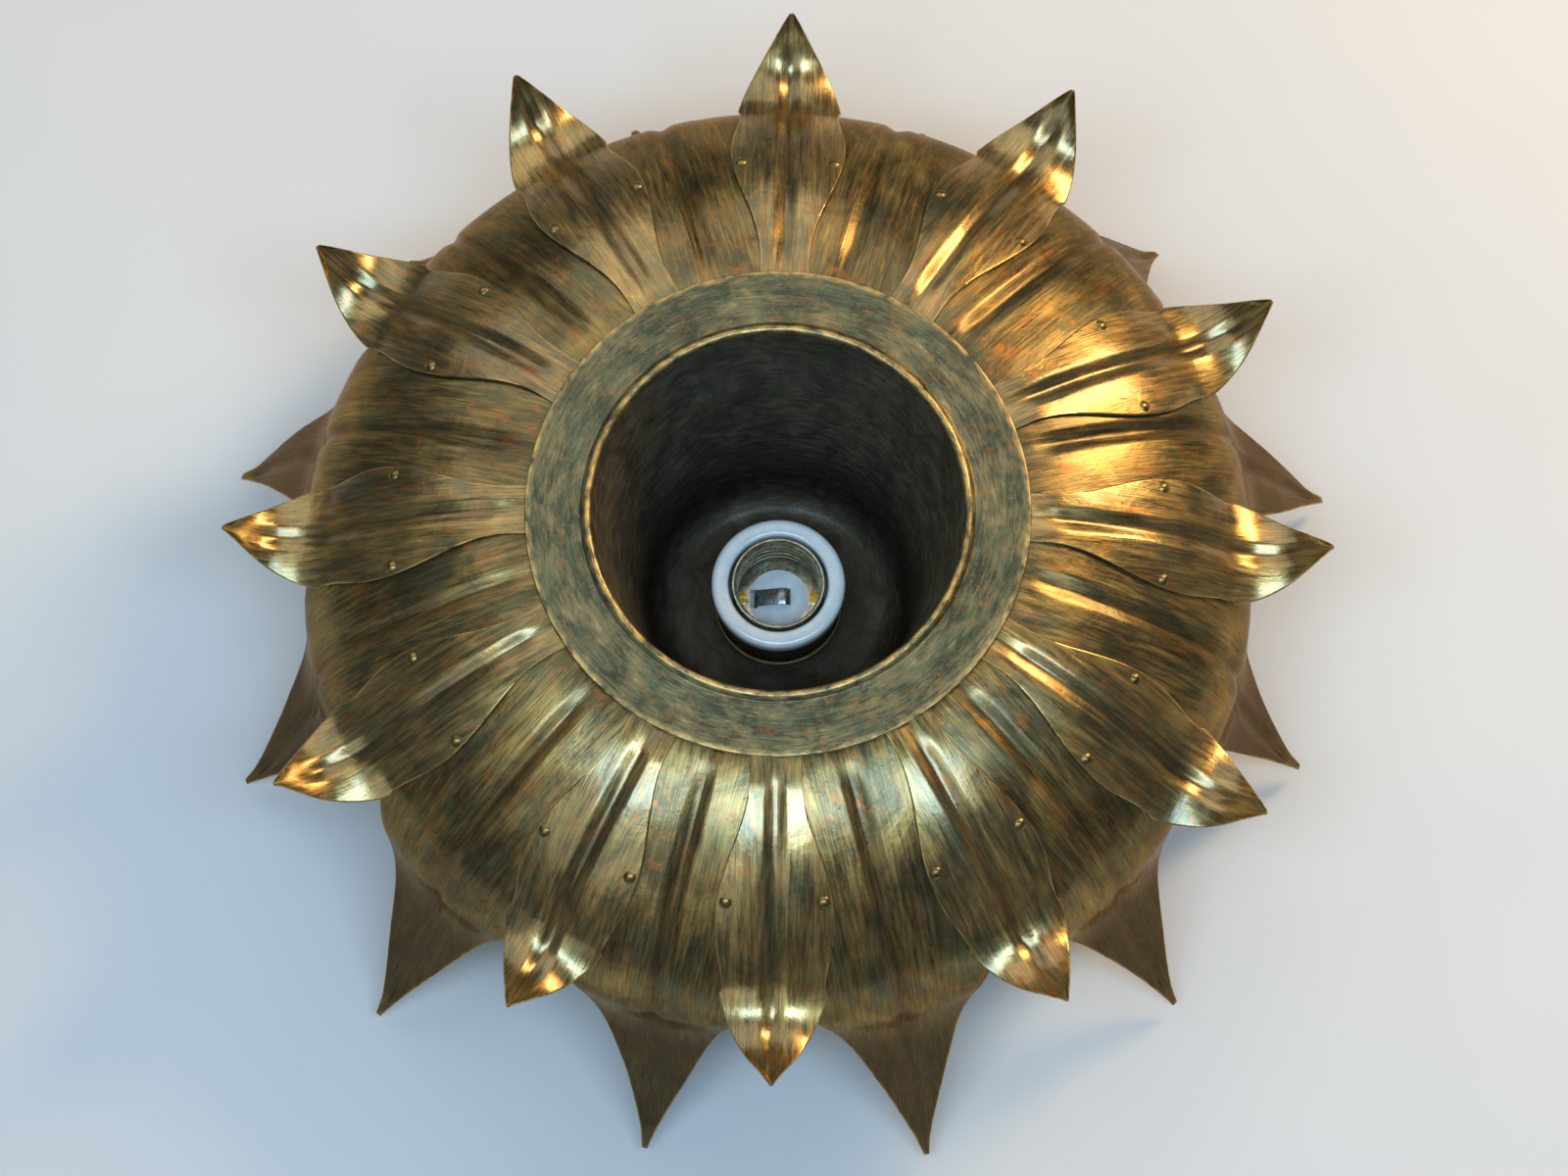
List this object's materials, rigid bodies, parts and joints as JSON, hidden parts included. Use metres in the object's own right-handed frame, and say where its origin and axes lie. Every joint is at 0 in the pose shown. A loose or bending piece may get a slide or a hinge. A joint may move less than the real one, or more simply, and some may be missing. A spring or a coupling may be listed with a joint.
{
  "type": "sunflower flush lamp",
  "caption": "Round sheet-metal flower lamp: two layers of flared petals round a flat trim ring and a deep dark cup that holds an E27 porcelain lampholder.",
  "frame": {"origin": "centre of the face that lies on the wall", "axes": "+Z is the way the light comes out, +Y is the side of the first front petal"},
  "size_m": [0.3258, 0.3258, 0.1312],
  "materials": {
    "zinc_steel": "dull zinc",
    "rubber": "matt",
    "brass": "plain turned brass",
    "dark_brass": "dark aged",
    "cup_bronze": "dark brown matt patina",
    "ring_gilt": "antique gilt, brushed round",
    "front_gilt": "antique gilt with dark streaks, glossy lacquer",
    "back_gilt": "antique gilt with dark streaks, glossy lacquer",
    "rivet_gilt": "antique gilt",
    "porcelain": "glossy white glaze",
    "thread_brass": "thin rolled brass",
    "base_ceramic": "unglazed, blue grey",
    "contact_brass": "springy brass",
    "brown_wire": "matt insulation",
    "blue_wire": "matt insulation",
    "earth_wire": "matt insulation",
    "block_nylon": "natural nylon"
  },
  "bodies": {
    "mounting": {"wall_plate": "zinc_steel", "cable_grommet": "rubber"},
    "lamp": {"canopy_drum": "dark_brass", "cup": "cup_bronze", "trim_ring": "ring_gilt", "petal_collar": "dark_brass", "front_petal_01": "front_gilt", "front_petal_02": "front_gilt", "front_petal_03": "front_gilt", "front_petal_04": "front_gilt", "front_petal_05": "front_gilt", "front_petal_06": "front_gilt", "front_petal_07": "front_gilt", "front_petal_08": "front_gilt", "front_petal_09": "front_gilt", "front_petal_10": "front_gilt", "front_petal_11": "front_gilt", "front_petal_12": "front_gilt", "back_petal_01": "back_gilt", "back_petal_02": "back_gilt", "back_petal_03": "back_gilt", "back_petal_04": "back_gilt", "back_petal_05": "back_gilt", "back_petal_06": "back_gilt", "back_petal_07": "back_gilt", "back_petal_08": "back_gilt", "back_petal_09": "back_gilt", "back_petal_10": "back_gilt", "back_petal_11": "back_gilt", "back_petal_12": "back_gilt", "petal_rivets": "rivet_gilt", "collar_rivets": "dark_brass", "nipple": "brass", "nipple_washer": "zinc_steel", "nipple_nut": "brass", "holder_cap": "brass", "holder_shell": "dark_brass", "porcelain_mouth": "porcelain", "thread_shell": "thread_brass", "contact_base": "base_ceramic", "contact_screws": "brass", "live_wire": "brown_wire", "neutral_wire": "blue_wire", "earth_wire": "earth_wire", "terminal_block": "block_nylon", "terminal_sleeves": "brass", "terminal_screws": "zinc_steel", "block_screw": "zinc_steel", "earth_screw": "brass"},
    "contact_tongue": {"centre_contact": "contact_brass"},
    "thumbscrew_a": {"thumbscrew_a": "brass"},
    "thumbscrew_b": {"thumbscrew_b": "brass"},
    "thumbscrew_c": {"thumbscrew_c": "brass"}
  },
  "joints": [
    {"name": "lamp_lift", "type": "slide", "parent": "mounting", "child": "lamp", "axis": [0, 0, 1], "range_m": [0, 0.04]},
    {"name": "thumbscrew_a_spin", "type": "hinge", "parent": "mounting", "child": "thumbscrew_a", "pos_m": [0, 0.055, 0.007], "axis": [0, 1, 0], "continuous": true},
    {"name": "thumbscrew_b_spin", "type": "hinge", "parent": "mounting", "child": "thumbscrew_b", "pos_m": [-0.04763, -0.0275, 0.007], "axis": [-0.866, -0.5, 0], "continuous": true},
    {"name": "thumbscrew_c_spin", "type": "hinge", "parent": "mounting", "child": "thumbscrew_c", "pos_m": [0.04763, -0.0275, 0.007], "axis": [0.866, -0.5, 0], "continuous": true},
    {"name": "contact_press", "type": "hinge", "parent": "lamp", "child": "contact_tongue", "pos_m": [-0.007, 0, 0.0376], "axis": [0, 1, 0], "range_deg": [0, 8]}
  ]
}
